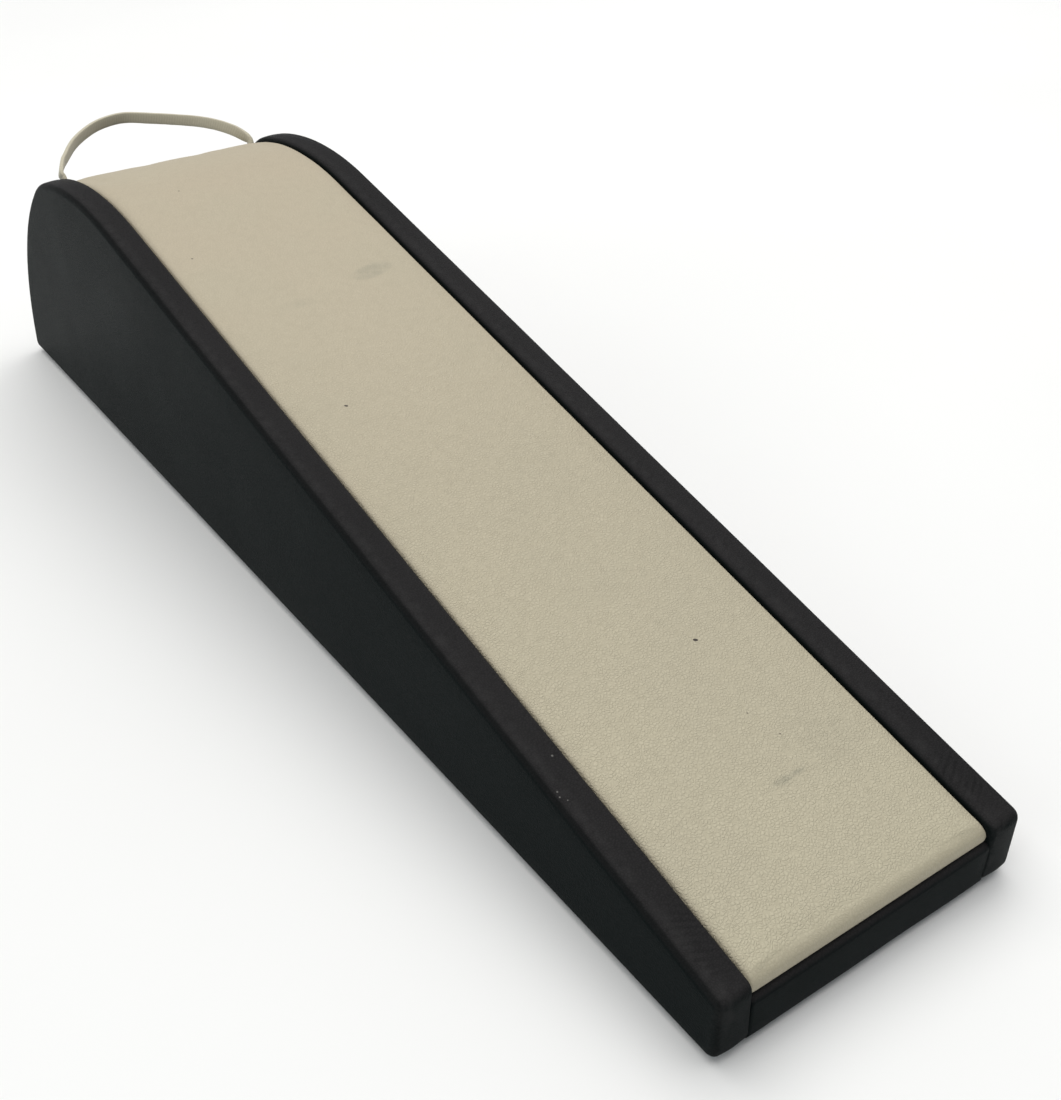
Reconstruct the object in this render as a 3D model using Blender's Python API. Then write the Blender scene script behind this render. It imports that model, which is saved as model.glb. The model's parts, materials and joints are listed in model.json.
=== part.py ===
"""Display ramp for one bracelet or watch, as an assembly of its boards, covers and trim.

Two black side cheeks stand proud of a cream padded insert that climbs from a low toe
at -Y, over a rounded crest, to its rear edge. A flat elastic loop leaves both sides of
that rear edge and leans back. X is the width, +Z is up, and the origin is the middle
of the footprint on the surface that the ramp stands on.
"""

import math

import bmesh
import bpy
from mathutils import Matrix, Vector

MM = 0.001

# Whole ramp
WIDTH = 54.3 * MM
TOE_Y = -116.55 * MM
TOE_HEIGHT = 10.4 * MM
SLOPE = math.radians(12.46)
SLOPE_REACH = 170.5 * MM
CREST_R = 69.0 * MM
CREST_DIP = math.radians(15.2)
SHOULDER_R = 18.5 * MM
SHOULDER_DIP = math.radians(38.5)
BACK_R = 61.5 * MM
TOE_ROUND = 1.6 * MM
BASE_ROUND = 1.5 * MM
LEAST_ROUND = 0.15 * MM
LIFT = 1.0 * MM

# Cheeks, and the black covering that wraps them
CHEEK = 5.7 * MM
SKIN = 0.6 * MM
GAP = 0.3 * MM
LAP = 3.5 * MM
OUTER_EDGE_R = 1.2 * MM
INNER_EDGE_R = 0.8 * MM

# Depths below the cheeks' edge line
INSERT_TOP = 0.65 * MM
INSERT_SKIN = 0.4 * MM
FOAM_TOP = 1.35 * MM
FOAM_UNDER = 1.9 * MM
CARD_TOP = 2.2 * MM
INSERT_UNDER = 2.8 * MM
DECK_TOP = 3.1 * MM
DECK_UNDER = 5.6 * MM
RIB_TOP = 5.9 * MM
COVER_SKIN = 0.5 * MM

# Boards between the cheeks
CORE_HALF = WIDTH / 2 - CHEEK - GAP
CARD_HALF = CORE_HALF - INSERT_SKIN - GAP
RIB_HALF = WIDTH / 2 - CHEEK + SKIN
INSERT_EDGE_R = 0.8 * MM
NOSE_DROP = 0.8
TOE_SETBACK = 0.3 * MM
TOE_EDGE_R = 0.9 * MM
TOE_COVER_REACH = 8.0 * MM
TOE_BLOCK_REACH = 16.0 * MM
BASE_THICK = 3.5 * MM
RIB_THICK = 4.0 * MM
RIBS = {
    "front_cross_rib": -62.0 * MM,
    "middle_cross_rib": -15.0 * MM,
    "rear_cross_rib": 30.0 * MM,
}
END_RIBS = (RIBS["front_cross_rib"], RIBS["rear_cross_rib"])
CREST_BLOCK_Y = 53.8 * MM
CREST_CURVE_LEAD = 1.2 * MM
FELT_THICK = 0.7 * MM
FELT_INSET = 1.5 * MM

# Elastic loop
BAND_WIDTH = 2.3 * MM
BAND_THICK = 0.9 * MM
BAND_X = 20.7 * MM
AXIS_RISE = 0.8 * MM
EXIT_AHEAD = 1.2 * MM
APEX_LEAN = math.radians(4.0)
LEFT_TWIST = 4
RIGHT_TWIST = 14
RIGHT_LEAN = math.radians(-28.0)
TAIL_LENGTH = 18.0 * MM
SLOT_HALF = 1.5 * MM
SLOT_X = 19.9 * MM
SEAM_BEHIND_EXIT = 1.6 * MM
ROOT_TURNS = [math.radians(turn) for turn in (22.0, 45.0, 68.0, 86.0)]

# Between its two exits the loop hangs a little unevenly, as limp elastic does
LOOP_BETWEEN = [
    (-20.8, 93.95, 47.0),
    (-19.3, 96.8, 47.8),
    (-17.9, 99.0, 48.05),
    (-13.8, 104.2, 49.05),
    (-8.6, 108.4, 49.85),
    (-4.2, 110.3, 50.2),
    (0.2, 110.5, 50.25),
    (5.1, 108.2, 49.8),
    (9.2, 105.9, 49.4),
    (13.5, 103.0, 48.95),
    (16.3, 99.6, 48.6),
    (18.6, 96.4, 47.85),
    (20.0, 94.4, 46.95),
]

# Brads and staples
BRAD_R = 0.6 * MM
BRAD_CLEAR = 0.3 * MM
BRAD_LENGTH = 13.0 * MM
BRAD_SUNK = 0.1 * MM
TOE_BRAD_HEIGHT = 4.6 * MM
CREST_BRADS = [(72.0 * MM, 32.0 * MM), (92.0 * MM, 12.0 * MM)]
BASE_BRAD_X = 12.0 * MM
LAST_BASE_BRAD_Y = 84.0 * MM
STAPLE_WIRE = 0.6 * MM
STAPLE_HALF = 1.9 * MM
STAPLE_LEG = 5.0 * MM
STAPLE_DEPTH = 9.0 * MM
CUT_CLEAR = 4.0 * MM

# How finely round shapes are stepped
CYLINDER_SIDES = 10
QUARTER_TURNS = [math.radians(turn) for turn in (0.0, 30.0, 60.0, 90.0)]
CORNER_STEPS = 4
CREST_STEPS = 9
SHOULDER_STEPS = 6
BACK_STEPS = 10
CURVE_STEP = 3.5 * MM
SMOOTH_BELOW = math.radians(40.0)

BLACK = (0.020, 0.022, 0.023)
CREAM = (0.52, 0.46, 0.36)
ELASTIC_CREAM = (0.55, 0.52, 0.42)
MDF = (0.42, 0.29, 0.17)
PINE = (0.62, 0.44, 0.24)
CARD = (0.45, 0.36, 0.25)
FOAM = (0.80, 0.79, 0.74)
FELT = (0.015, 0.015, 0.017)
STEEL = (0.60, 0.60, 0.62)


def remove_everything():
    for obj in list(bpy.data.objects):
        bpy.data.objects.remove(obj, do_unlink=True)


def material(name, colour, roughness, metallic=0.0):
    made = bpy.data.materials.new(name)
    made.use_nodes = True
    shader = made.node_tree.nodes["Principled BSDF"]
    shader.inputs["Base Color"].default_value = (*colour, 1.0)
    shader.inputs["Roughness"].default_value = roughness
    shader.inputs["Metallic"].default_value = metallic
    return made


def add_object(name, mesh_data, look=None):
    bmesh.ops.recalc_face_normals(mesh_data, faces=mesh_data.faces)
    mesh = bpy.data.meshes.new(name)
    mesh_data.to_mesh(mesh)
    mesh_data.free()
    made = bpy.data.objects.new(name, mesh)
    bpy.context.scene.collection.objects.link(made)
    if look:
        mesh.materials.append(look)
    return made


def loft_into(mesh_data, rings):
    """Joins rings of equally many points, and closes the first and the last."""
    loops = [[mesh_data.verts.new(point) for point in ring] for ring in rings]
    count = len(loops[0])
    for near, far in zip(loops, loops[1:]):
        for i in range(count):
            j = (i + 1) % count
            mesh_data.faces.new((near[i], near[j], far[j], far[i]))
    mesh_data.faces.new(loops[0])
    mesh_data.faces.new(loops[-1])


def loft(name, rings, look=None):
    mesh_data = bmesh.new()
    loft_into(mesh_data, rings)
    return add_object(name, mesh_data, look)


def cut(obj, cutter):
    modifier = obj.modifiers.new("cut_" + cutter.name, "BOOLEAN")
    modifier.operation = "DIFFERENCE"
    modifier.object = cutter


def as_cutter(obj):
    obj.hide_render = True
    return obj


def settle_cuts():
    """Makes each cut piece a plain mesh, shades its round faces smooth, and clears the cutters away."""
    graph = bpy.context.evaluated_depsgraph_get()
    settled = []
    for obj in bpy.data.objects:
        if not obj.hide_render:
            settled.append((obj, bpy.data.meshes.new_from_object(obj.evaluated_get(graph))))
    for obj, mesh in settled:
        obj.modifiers.clear()
        obj.data = mesh
        mesh.name = obj.name
        mesh.shade_smooth()
        mesh.set_sharp_from_angle(angle=SMOOTH_BELOW)
    for obj in list(bpy.data.objects):
        if obj.hide_render:
            bpy.data.objects.remove(obj, do_unlink=True)


# Side view. Headings turn from the slope's climb down to the back's fall, and a point's
# second coordinate is measured from the cheeks' underside.


def outward(heading):
    return Vector((-math.sin(heading), math.cos(heading)))


TOE_CORNER = Vector((TOE_Y, TOE_HEIGHT))
SLOPE_END = TOE_CORNER + Vector((SLOPE_REACH, SLOPE_REACH * math.tan(SLOPE)))
CREST_CENTRE = SLOPE_END - outward(SLOPE) * CREST_R
SHOULDER_CENTRE = CREST_CENTRE + outward(-CREST_DIP) * (CREST_R - SHOULDER_R)
BACK_CENTRE = SHOULDER_CENTRE + outward(-SHOULDER_DIP) * (SHOULDER_R - BACK_R)


def arc(centre, radius, start, end, steps):
    points = []
    for i in range(steps + 1):
        heading = start + (end - start) * i / steps
        points.append(centre + outward(heading) * radius)
    return points


def side_outline(inset):
    """The ramp's outline seen from the side, pulled in by inset, with as many points for any inset."""
    low = max(BASE_ROUND - inset, LEAST_ROUND)
    toe_low = Vector((TOE_Y + inset + low, inset + low))
    high = max(TOE_ROUND - inset, LEAST_ROUND)
    high_y = TOE_Y + inset + high
    slope_level = TOE_CORNER.dot(outward(SLOPE)) - inset - high
    toe_high = Vector((high_y, (slope_level + math.sin(SLOPE) * high_y) / math.cos(SLOPE)))
    reach = BACK_R - inset - low
    drop = inset + low - BACK_CENTRE.y
    heel = Vector((BACK_CENTRE.x + math.sqrt(reach * reach - drop * drop), inset + low))
    heel_heading = math.atan2(BACK_CENTRE.x - heel.x, drop)
    points = arc(toe_low, low, math.pi, math.pi / 2, CORNER_STEPS)
    points += arc(toe_high, high, math.pi / 2, SLOPE, CORNER_STEPS)
    points += arc(CREST_CENTRE, CREST_R - inset, SLOPE, -CREST_DIP, CREST_STEPS)
    points += arc(SHOULDER_CENTRE, SHOULDER_R - inset, -CREST_DIP, -SHOULDER_DIP, SHOULDER_STEPS)[1:]
    points += arc(BACK_CENTRE, BACK_R - inset, -SHOULDER_DIP, heel_heading, BACK_STEPS)[1:]
    points += arc(heel, low, heel_heading, -math.pi, CORNER_STEPS)
    return points


def side_ring(x, inset):
    return [(x, point.x, point.y + LIFT) for point in side_outline(inset)]


SLOPE_RUN = SLOPE_REACH / math.cos(SLOPE)
CREST_RUN = SLOPE_RUN + CREST_R * (SLOPE + CREST_DIP)
SHOULDER_RUN = CREST_RUN + SHOULDER_R * (SHOULDER_DIP - CREST_DIP)
EXIT_RUN = SHOULDER_RUN - EXIT_AHEAD
SEAM_RUN = EXIT_RUN + SEAM_BEHIND_EXIT


def place(run):
    """The point and heading this far along the top edge line from the toe's corner."""
    if run <= SLOPE_RUN:
        along = Vector((math.cos(SLOPE), math.sin(SLOPE)))
        return TOE_CORNER + along * run, SLOPE
    if run <= CREST_RUN:
        heading = SLOPE - (run - SLOPE_RUN) / CREST_R
        return CREST_CENTRE + outward(heading) * CREST_R, heading
    if run <= SHOULDER_RUN:
        heading = -CREST_DIP - (run - CREST_RUN) / SHOULDER_R
        return SHOULDER_CENTRE + outward(heading) * SHOULDER_R, heading
    heading = -SHOULDER_DIP - (run - SHOULDER_RUN) / BACK_R
    return BACK_CENTRE + outward(heading) * BACK_R, heading


def below(run, depth):
    point, heading = place(run)
    return point - outward(heading) * depth


def runs_between(start, end):
    """Distances along the edge line, close together only where it curves."""
    marks = [start]
    for mark in (SLOPE_RUN, CREST_RUN, SHOULDER_RUN, end):
        if mark <= marks[-1] or mark > end:
            continue
        steps = 1
        if mark > SLOPE_RUN:
            steps = max(1, math.ceil((mark - marks[-1]) / CURVE_STEP))
        first = marks[-1]
        for i in range(1, steps + 1):
            marks.append(first + (mark - first) * i / steps)
    return marks


def strip_ring(run, section):
    """One cross-section of a strip: pairs of a place across and a depth below the edge line."""
    ring = []
    for x, depth in section:
        point = below(run, depth)
        ring.append((x, point.x, point.y + LIFT))
    return ring


def flat_section(half, top, under):
    return [(-half, under), (-half, top), (half, top), (half, under)]


def strip(name, start, end, section, look=None):
    rings = [strip_ring(run, section) for run in runs_between(start, end)]
    return loft(name, rings, look)


def prism(name, outline, half, look=None):
    """A side-view outline pulled straight across the width."""
    rings = []
    for x in (-half, half):
        rings.append([(x, point[0], point[1] + LIFT) for point in outline])
    return loft(name, rings, look)


def slope_height(y, depth):
    return TOE_HEIGHT + (y - TOE_Y) * math.tan(SLOPE) - depth / math.cos(SLOPE)


# Black side cheeks


def cheek_cover(name, side, look):
    """A tray of covering: outer face, wrapped edge, and a lap turned in on the inner face."""
    levels = []
    for turn in QUARTER_TURNS:
        levels.append((OUTER_EDGE_R * (1 - math.cos(turn)), OUTER_EDGE_R * (1 - math.sin(turn))))
    for turn in QUARTER_TURNS:
        across = CHEEK - INNER_EDGE_R * (1 - math.sin(turn))
        levels.append((across, INNER_EDGE_R * (1 - math.cos(turn))))
    levels += [(CHEEK, LAP), (CHEEK - SKIN, LAP), (CHEEK - SKIN, SKIN), (SKIN, SKIN)]
    rings = [side_ring(side * (WIDTH / 2 - across), inset) for across, inset in levels]
    return loft(name, rings, look)


def cheek_board(name, side, look):
    outer = side * (WIDTH / 2 - SKIN - GAP)
    inner = side * (WIDTH / 2 - CHEEK + SKIN + GAP)
    return loft(name, [side_ring(x, SKIN + GAP) for x in (outer, inner)], look)


# Core boards and blocks


def toe_cover_outline():
    """Up the front from a lap under the toe, and back over the ledge that the insert lies on."""
    front = TOE_Y + TOE_SETBACK
    back = TOE_Y + TOE_COVER_REACH
    along = Vector((math.cos(SLOPE), math.sin(SLOPE)))
    low = Vector((front + TOE_EDGE_R, TOE_EDGE_R))
    high_y = front + TOE_EDGE_R
    high = Vector((high_y, slope_height(high_y, DECK_TOP + TOE_EDGE_R)))
    end = high + outward(SLOPE) * TOE_EDGE_R + along * (back - high_y)
    outer = [Vector((back, 0.0))]
    outer += arc(low, TOE_EDGE_R, math.pi, math.pi / 2, CORNER_STEPS)
    outer += arc(high, TOE_EDGE_R, math.pi / 2, SLOPE, CORNER_STEPS)
    outer.append(end)
    inner = [end - outward(SLOPE) * COVER_SKIN]
    inner_r = TOE_EDGE_R - COVER_SKIN
    inner += reversed(arc(high, inner_r, math.pi / 2, SLOPE, CORNER_STEPS))
    inner += reversed(arc(low, inner_r, math.pi, math.pi / 2, CORNER_STEPS))
    inner.append(Vector((back, COVER_SKIN)))
    return outer + inner


def toe_block_outline():
    front = TOE_Y + TOE_SETBACK + COVER_SKIN + GAP
    back = TOE_Y + TOE_BLOCK_REACH
    under = COVER_SKIN + GAP
    depth = DECK_TOP + COVER_SKIN + GAP
    over = [(front, slope_height(front, depth)), (back, slope_height(back, depth))]
    return [(front, under), *over, (back, under)]


def deck_outline():
    front = TOE_Y + TOE_BLOCK_REACH + GAP
    back = CREST_BLOCK_Y - GAP
    over = [(front, slope_height(front, DECK_TOP)), (back, slope_height(back, DECK_TOP))]
    under = [(back, slope_height(back, DECK_UNDER)), (front, slope_height(front, DECK_UNDER))]
    return over + under


def rib_outline(y):
    front = y - RIB_THICK / 2
    back = y + RIB_THICK / 2
    foot = BASE_THICK + GAP
    over = [(front, slope_height(front, RIB_TOP)), (back, slope_height(back, RIB_TOP))]
    return [(front, foot), *over, (back, foot)]


def crest_block_outline():
    """Rounded over under the insert, stepped out behind its rear edge, down to the base board."""
    foot = BASE_THICK + GAP
    lining = INSERT_TOP + COVER_SKIN + GAP
    front = [Vector((CREST_BLOCK_Y, foot)), Vector((CREST_BLOCK_Y, slope_height(CREST_BLOCK_Y, DECK_TOP)))]
    over = [below(run, DECK_TOP) for run in runs_between(SLOPE_RUN + CREST_CURVE_LEAD, SEAM_RUN)]
    behind = [below(run, lining) for run in runs_between(SEAM_RUN, back_run_at(foot, lining))]
    return front + over + behind


def back_run_at(height, depth):
    """How far along the edge line a surface this deep falls to a height."""
    drop = height - BACK_CENTRE.y
    heading = -math.acos(drop / (BACK_R - depth))
    return SHOULDER_RUN + (-SHOULDER_DIP - heading) * BACK_R


def base_board_outline():
    front = TOE_Y + TOE_BLOCK_REACH + GAP
    depth = INSERT_TOP + COVER_SKIN + GAP
    back = min(below(back_run_at(height, depth), depth).x for height in (0.0, BASE_THICK))
    return [(front, 0.0), (front, BASE_THICK), (back, BASE_THICK), (back, 0.0)]


def felt_sheet(look):
    back = -TOE_Y - FELT_INSET
    front = TOE_Y + FELT_INSET
    half = WIDTH / 2 - FELT_INSET
    rings = []
    for z in (0.0, FELT_THICK):
        rings.append([(-half, front, z), (half, front, z), (half, back, z), (-half, back, z)])
    return loft("base_felt", rings, look)


# Cream insert


def insert_section(top):
    """Across the insert: straight sides that round over into the top."""
    half = CORE_HALF
    left = [(-half, INSERT_UNDER)]
    for turn in QUARTER_TURNS:
        across = half - INSERT_EDGE_R * (1 - math.cos(turn))
        left.append((-across, top + INSERT_EDGE_R * (1 - math.sin(turn))))
    return left + [(-x, depth) for x, depth in reversed(left)]


def insert_cover(look):
    nose = TOE_SETBACK
    rings = []
    for turn in QUARTER_TURNS:
        run = nose + INSERT_EDGE_R * (1 - math.cos(turn))
        top = INSERT_TOP + NOSE_DROP * INSERT_EDGE_R * (1 - math.sin(turn))
        rings.append(strip_ring(run, insert_section(top)))
    for run in runs_between(nose + 2 * INSERT_EDGE_R, SEAM_RUN):
        rings.append(strip_ring(run, insert_section(INSERT_TOP)))
    cover = loft("insert_cover", rings, look)
    half = CORE_HALF - INSERT_SKIN
    hollow = flat_section(half, INSERT_TOP + INSERT_SKIN, DECK_TOP)
    room = strip("insert_room", nose + 2 * INSERT_SKIN, SEAM_RUN - INSERT_SKIN, hollow)
    cut(cover, as_cutter(room))
    return cover


# Elastic loop


def exit_axis():
    """The middle of the line that the loop turns about, and the way out of the surface there."""
    point, heading = place(EXIT_RUN)
    rise = outward(heading)
    middle = point + rise * AXIS_RISE
    return Vector((0.0, middle.x, middle.y + LIFT)), Vector((0.0, rise.x, rise.y))


def loop_route():
    """The loop's middle line from exit to exit, with a point halfway along each Catmull-Rom span."""
    axis = exit_axis()[0]
    exits = [axis + Vector((side * BAND_X, 0.0, 0.0)) for side in (-1, 1)]
    points = [exits[0], *[Vector(point) * MM for point in LOOP_BETWEEN], exits[1]]
    ends = [2 * points[0] - points[1], *points, 2 * points[-1] - points[-2]]
    route = []
    for before, start, end, after in zip(ends, ends[1:], ends[2:], ends[3:]):
        route.append(start)
        route.append((9 * (start + end) - before - after) / 16)
    return [*route, points[-1]]


def band_ring(centre, along, across, half_width):
    thick = along.cross(across).normalized() * (BAND_THICK / 2)
    wide = across * half_width
    return [centre - wide - thick, centre + wide - thick, centre + wide + thick, centre - wide + thick]


def root_rings(centre, side):
    """Narrowing rings that round the band off into its exit."""
    rise = exit_axis()[1]
    across = Vector((0.0, -rise.z, rise.y))
    rings = []
    for turn in ROOT_TURNS:
        down = centre - rise * (BAND_WIDTH / 2 * math.sin(turn))
        rings.append(band_ring(down, rise * side, across, BAND_WIDTH / 2 * math.cos(turn)))
    return rings


def elastic_loop(look):
    """The visible band, which stands on edge and has a round root at each end about the exits' axis."""
    route = loop_route()
    low = route[0].y
    high = max(point.y for point in route)
    exit_lean = math.pi / 2 + place(EXIT_RUN)[1]
    rings = []
    for i, point in enumerate(route):
        along = (route[min(i + 1, len(route) - 1)] - route[max(i - 1, 0)]).normalized()
        share = max(0.0, (high - point.y) / (high - low))
        twist = share ** (LEFT_TWIST if point.x < 0 else RIGHT_TWIST)
        free_lean = APEX_LEAN + RIGHT_LEAN * max(0.0, point.x / BAND_X)
        lean = free_lean + (exit_lean - free_lean) * twist
        across = Vector((0.0, -math.sin(lean), math.cos(lean)))
        across = (across - along * across.dot(along)).normalized()
        rings.append(band_ring(point, along, across, BAND_WIDTH / 2))
    rings = [*reversed(root_rings(route[0], 1)), *rings, *root_rings(route[-1], -1)]
    axis = exit_axis()[0]
    band = loft("elastic_loop", rings, look)
    band.data.transform(Matrix.Translation(-axis))
    band.location = axis
    return band


def exit_frame(side):
    """Turns local X, Y, Z into outward from the middle, back along the surface, and out of the surface."""
    point, heading = place(EXIT_RUN)
    rise = outward(heading)
    turn = Matrix(((side, 0, 0), (0, rise.y, rise.x), (0, -rise.x, rise.y)))
    frame = turn.to_4x4()
    frame.translation = (0.0, point.x, point.y + LIFT)
    return frame


def exit_box(name, side, x_range, y_range, z_range, look=None):
    rings = []
    frame = exit_frame(side)
    for z in z_range:
        corners = [(x_range[0], y_range[0]), (x_range[1], y_range[0]), (x_range[1], y_range[1])]
        corners.append((x_range[0], y_range[1]))
        rings.append([frame @ Vector((x, y, z)) for x, y in corners])
    return loft(name, rings, look)


def elastic_tail(name, side, look):
    top = -INSERT_TOP
    across = (BAND_X - BAND_THICK / 2, BAND_X + BAND_THICK / 2)
    along = (-BAND_WIDTH / 2, BAND_WIDTH / 2)
    return exit_box(name, side, across, along, (top - TAIL_LENGTH, top), look)


def exit_slot(side):
    name = "left_slot" if side < 0 else "right_slot"
    depth = (-INSERT_TOP - TAIL_LENGTH - 2 * GAP, CUT_CLEAR)
    along = (-SLOT_HALF, SLOT_HALF + GAP)
    return as_cutter(exit_box(name, side, (SLOT_X, BAND_X + CUT_CLEAR), along, depth))


def staple_outline():
    """Crown outside the band, legs driven inwards on either side of it."""
    crown = BAND_X + BAND_THICK / 2 + GAP
    outer = crown + STAPLE_WIRE
    leg = crown - STAPLE_LEG
    half = STAPLE_HALF + STAPLE_WIRE
    left = [(leg, -half), (outer, -half), (outer, half), (leg, half)]
    right = [(leg, STAPLE_HALF), (crown, STAPLE_HALF), (crown, -STAPLE_HALF), (leg, -STAPLE_HALF)]
    return left + right


def staple(name, side, look):
    frame = exit_frame(side)
    rings = []
    for z in (-STAPLE_DEPTH - STAPLE_WIRE / 2, -STAPLE_DEPTH + STAPLE_WIRE / 2):
        rings.append([frame @ Vector((x, y, z)) for x, y in staple_outline()])
    return loft(name, rings, look)


def staple_holes():
    mesh_data = bmesh.new()
    inner = BAND_X + BAND_THICK / 2 - STAPLE_LEG
    outer = BAND_X + CUT_CLEAR
    for side in (-1, 1):
        frame = exit_frame(side)
        for edge in (-1, 1):
            near = edge * (STAPLE_HALF - GAP)
            far = edge * (STAPLE_HALF + STAPLE_WIRE + GAP)
            rings = []
            for z in (-STAPLE_DEPTH - STAPLE_WIRE / 2 - GAP, -STAPLE_DEPTH + STAPLE_WIRE / 2 + GAP):
                corners = [(inner, near), (outer, near), (outer, far), (inner, far)]
                rings.append([frame @ Vector((x, y, z)) for x, y in corners])
            loft_into(mesh_data, rings)
    return as_cutter(add_object("staple_holes", mesh_data))


# Brads


def rod_into(mesh_data, start, end, radius):
    along = (end - start).normalized()
    across = along.orthogonal().normalized()
    other = along.cross(across)
    rings = []
    for centre in (start, end):
        ring = []
        for i in range(CYLINDER_SIDES):
            turn = 2 * math.pi * i / CYLINDER_SIDES
            ring.append(centre + (across * math.cos(turn) + other * math.sin(turn)) * radius)
        rings.append(ring)
    loft_into(mesh_data, rings)


def brads(stem, ends, look):
    for i, (start, end) in enumerate(ends):
        mesh_data = bmesh.new()
        rod_into(mesh_data, start, end, BRAD_R)
        add_object(f"{stem}_{i + 1}", mesh_data, look)


def brad_holes(name, ends):
    mesh_data = bmesh.new()
    for start, end in ends:
        rod_into(mesh_data, start, end, BRAD_R + BRAD_CLEAR)
    return as_cutter(add_object(name, mesh_data))


def cheek_brad_places():
    """Side-view places of the brads: one in the toe block, one in each end rib, two in the crest block."""
    places = [Vector((TOE_Y + TOE_BLOCK_REACH / 2, TOE_BRAD_HEIGHT))]
    for y in END_RIBS:
        places.append(Vector((y, (BASE_THICK + GAP + slope_height(y, RIB_TOP)) / 2)))
    return places + [Vector(point) for point in CREST_BRADS]


def cheek_brad_ends(side, spare=0.0):
    outer = WIDTH / 2 - SKIN - GAP - BRAD_SUNK
    ends = []
    for point in cheek_brad_places():
        start = Vector((side * (outer + spare * 2), point.x, point.y + LIFT))
        end = Vector((side * (outer - BRAD_LENGTH - spare), point.x, point.y + LIFT))
        ends.append((start, end))
    return ends


def base_brad_ends(spare=0.0):
    ends = []
    for y in (*END_RIBS, LAST_BASE_BRAD_Y):
        for x in (-BASE_BRAD_X, BASE_BRAD_X):
            start = Vector((x, y, LIFT + BRAD_SUNK - spare * 2))
            ends.append((start, Vector((x, y, LIFT + BRAD_LENGTH + spare))))
    return ends


def build():
    remove_everything()
    black = material("black_leatherette", BLACK, 0.45)
    cream = material("cream_leatherette", CREAM, 0.6)
    elastic = material("cream_elastic", ELASTIC_CREAM, 0.85)
    mdf = material("mdf", MDF, 0.8)
    pine = material("pine", PINE, 0.7)
    card = material("card", CARD, 0.9)
    foam = material("foam", FOAM, 0.9)
    felt = material("felt", FELT, 0.95)
    steel = material("steel", STEEL, 0.35, 1.0)

    cheek_cover("left_cheek_cover", -1, black)
    cheek_cover("right_cheek_cover", 1, black)
    left_board = cheek_board("left_cheek_board", -1, mdf)
    right_board = cheek_board("right_cheek_board", 1, mdf)

    toe_block = prism("toe_block", toe_block_outline(), CORE_HALF, pine)
    prism("toe_cover", toe_cover_outline(), CORE_HALF, black)
    prism("ramp_board", deck_outline(), CORE_HALF, mdf)
    base_board = prism("base_board", base_board_outline(), CORE_HALF, mdf)
    ribs = [prism(name, rib_outline(y), RIB_HALF, pine) for name, y in RIBS.items()]
    crest_block = prism("crest_block", crest_block_outline(), CORE_HALF, pine)
    back_end = back_run_at(0.0, INSERT_TOP)
    lining = flat_section(CORE_HALF, INSERT_TOP, INSERT_TOP + COVER_SKIN)
    strip("back_cover", SEAM_RUN + GAP, back_end, lining, black)
    felt_sheet(felt)

    cover = insert_cover(cream)
    foam_section = flat_section(CARD_HALF, FOAM_TOP, FOAM_UNDER)
    card_section = flat_section(CARD_HALF, CARD_TOP, INSERT_UNDER)
    insert_start = TOE_SETBACK + 2 * INSERT_SKIN + GAP
    insert_end = SEAM_RUN - INSERT_SKIN - GAP
    insert_foam = strip("insert_foam", insert_start, insert_end, foam_section, foam)
    insert_card = strip("insert_board", insert_start, insert_end, card_section, card)

    elastic_loop(elastic)
    elastic_tail("left_elastic_tail", -1, elastic)
    elastic_tail("right_elastic_tail", 1, elastic)
    staple("left_elastic_staple", -1, steel)
    staple("right_elastic_staple", 1, steel)
    leg_holes = staple_holes()
    for slot in (exit_slot(-1), exit_slot(1)):
        for piece in (cover, insert_foam, insert_card, crest_block):
            cut(piece, slot)
    cut(crest_block, leg_holes)

    bodies = (toe_block, crest_block, *ribs)
    for side, board, name in ((-1, left_board, "left"), (1, right_board, "right")):
        brads(name + "_cheek_brad", cheek_brad_ends(side), steel)
        holes = brad_holes(name + "_brad_holes", cheek_brad_ends(side, BRAD_CLEAR))
        cut(board, holes)
        for piece in bodies:
            cut(piece, holes)
    brads("base_brad", base_brad_ends(), steel)
    base_holes = brad_holes("base_brad_holes", base_brad_ends(BRAD_CLEAR))
    for piece in (base_board, crest_block, *ribs):
        cut(piece, base_holes)
    settle_cuts()


build()
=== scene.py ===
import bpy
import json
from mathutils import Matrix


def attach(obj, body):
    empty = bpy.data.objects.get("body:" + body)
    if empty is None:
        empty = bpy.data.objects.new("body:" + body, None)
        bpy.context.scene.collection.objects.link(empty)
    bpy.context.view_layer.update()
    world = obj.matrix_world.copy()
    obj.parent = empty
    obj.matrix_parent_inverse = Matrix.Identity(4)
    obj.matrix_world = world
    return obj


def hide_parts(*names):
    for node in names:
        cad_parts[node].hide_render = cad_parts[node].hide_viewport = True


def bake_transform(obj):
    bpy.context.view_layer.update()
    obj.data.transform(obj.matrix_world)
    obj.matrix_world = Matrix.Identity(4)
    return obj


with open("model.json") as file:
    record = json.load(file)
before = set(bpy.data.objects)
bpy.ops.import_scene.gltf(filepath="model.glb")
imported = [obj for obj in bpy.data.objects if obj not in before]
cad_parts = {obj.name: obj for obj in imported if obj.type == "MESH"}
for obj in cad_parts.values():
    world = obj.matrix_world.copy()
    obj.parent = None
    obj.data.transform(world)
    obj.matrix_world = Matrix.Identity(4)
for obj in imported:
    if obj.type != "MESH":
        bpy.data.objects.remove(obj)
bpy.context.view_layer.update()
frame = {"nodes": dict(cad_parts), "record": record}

import json
import math

import bmesh
import bpy
import numpy as np
from mathutils import Matrix, Vector, noise

MM = 0.001

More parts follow.
